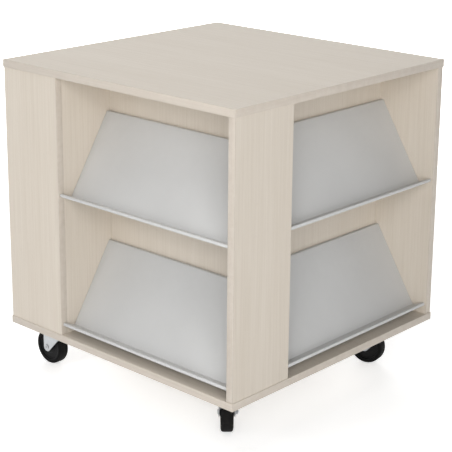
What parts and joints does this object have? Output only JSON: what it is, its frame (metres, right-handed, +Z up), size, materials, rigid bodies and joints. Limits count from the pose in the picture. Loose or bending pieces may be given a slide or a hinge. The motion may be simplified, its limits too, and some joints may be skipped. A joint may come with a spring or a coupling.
{
  "type": "mobile book display table",
  "caption": "Square display table on swivel castors: a pinwheel carcass with an open bay on every side, each with sloping sheet-metal book shelves.",
  "frame": {"origin": "on the floor, under the centre of the square top", "axes": "+Z up, -Y out of the front side, +X out of the right side"},
  "size_m": [0.8205, 0.82, 0.869],
  "materials": {
    "laminate": "satin maple-pattern laminate",
    "edge_band": "satin plastic edge band",
    "shelf_paint": "satin grey powder coat",
    "zinc": "bright zinc plate",
    "dowel_wood": "plain beech",
    "wheel_plastic": "black moulded plastic",
    "tyre_rubber": "black rubber"
  },
  "bodies": {
    "carcass": {"top_board": "laminate", "top_edge_band": "edge_band", "base_board": "laminate", "base_edge_band": "edge_band", "front_outer_panel": "laminate", "right_outer_panel": "laminate", "back_outer_panel": "laminate", "left_outer_panel": "laminate", "front_inner_panel": "laminate", "right_inner_panel": "laminate", "back_inner_panel": "laminate", "left_inner_panel": "laminate", "panel_edge_bands": "edge_band", "front_upper_shelf": "shelf_paint", "right_upper_shelf": "shelf_paint", "back_upper_shelf": "shelf_paint", "left_upper_shelf": "shelf_paint", "front_lower_shelf": "shelf_paint", "right_lower_shelf": "shelf_paint", "back_lower_shelf": "shelf_paint", "left_lower_shelf": "shelf_paint", "shelf_screws": "zinc", "panel_dowels": "dowel_wood", "base_screws": "zinc", "castor_screws": "zinc", "castor_kingpins": "zinc", "front_left_castor_plate": "zinc", "front_left_swivel_balls": "zinc", "front_right_castor_plate": "zinc", "front_right_swivel_balls": "zinc", "back_right_castor_plate": "zinc", "back_right_swivel_balls": "zinc", "back_left_castor_plate": "zinc", "back_left_swivel_balls": "zinc"},
    "front_left_castor": {"front_left_fork": "zinc", "front_left_axle_bolt": "zinc", "front_left_axle_nut": "zinc", "front_left_axle_sleeve": "zinc"},
    "front_left_rolling_wheel": {"front_left_wheel": "wheel_plastic", "front_left_tyre": "tyre_rubber"},
    "front_right_castor": {"front_right_fork": "zinc", "front_right_axle_bolt": "zinc", "front_right_axle_nut": "zinc", "front_right_axle_sleeve": "zinc"},
    "front_right_rolling_wheel": {"front_right_wheel": "wheel_plastic", "front_right_tyre": "tyre_rubber"},
    "back_right_castor": {"back_right_fork": "zinc", "back_right_axle_bolt": "zinc", "back_right_axle_nut": "zinc", "back_right_axle_sleeve": "zinc"},
    "back_right_rolling_wheel": {"back_right_wheel": "wheel_plastic", "back_right_tyre": "tyre_rubber"},
    "back_left_castor": {"back_left_fork": "zinc", "back_left_axle_bolt": "zinc", "back_left_axle_nut": "zinc", "back_left_axle_sleeve": "zinc"},
    "back_left_rolling_wheel": {"back_left_wheel": "wheel_plastic", "back_left_tyre": "tyre_rubber"}
  },
  "joints": [
    {"name": "front_left_swivel", "type": "hinge", "parent": "carcass", "child": "front_left_castor", "pos_m": [-0.3175, -0.31, 0.114], "axis": [0, 0, 1], "continuous": true},
    {"name": "front_left_roll", "type": "hinge", "parent": "front_left_castor", "child": "front_left_rolling_wheel", "pos_m": [-0.3605, -0.31, 0.05], "axis": [0, -1, 0], "continuous": true},
    {"name": "front_right_swivel", "type": "hinge", "parent": "carcass", "child": "front_right_castor", "pos_m": [0.31, -0.3175, 0.114], "axis": [0, 0, 1], "continuous": true},
    {"name": "front_right_roll", "type": "hinge", "parent": "front_right_castor", "child": "front_right_rolling_wheel", "pos_m": [0.28013, -0.28657, 0.05], "axis": [-0.7193, -0.6947, 0], "continuous": true},
    {"name": "back_right_swivel", "type": "hinge", "parent": "carcass", "child": "back_right_castor", "pos_m": [0.3175, 0.31, 0.114], "axis": [0, 0, 1], "continuous": true},
    {"name": "back_right_roll", "type": "hinge", "parent": "back_right_castor", "child": "back_right_rolling_wheel", "pos_m": [0.27503, 0.30327, 0.05], "axis": [0.1564, -0.9877, 0], "continuous": true},
    {"name": "back_left_swivel", "type": "hinge", "parent": "carcass", "child": "back_left_castor", "pos_m": [-0.31, 0.3175, 0.114], "axis": [0, 0, 1], "continuous": true},
    {"name": "back_left_roll", "type": "hinge", "parent": "back_left_castor", "child": "back_left_rolling_wheel", "pos_m": [-0.35041, 0.33221, 0.05], "axis": [-0.342, -0.9397, 0], "continuous": true}
  ]
}
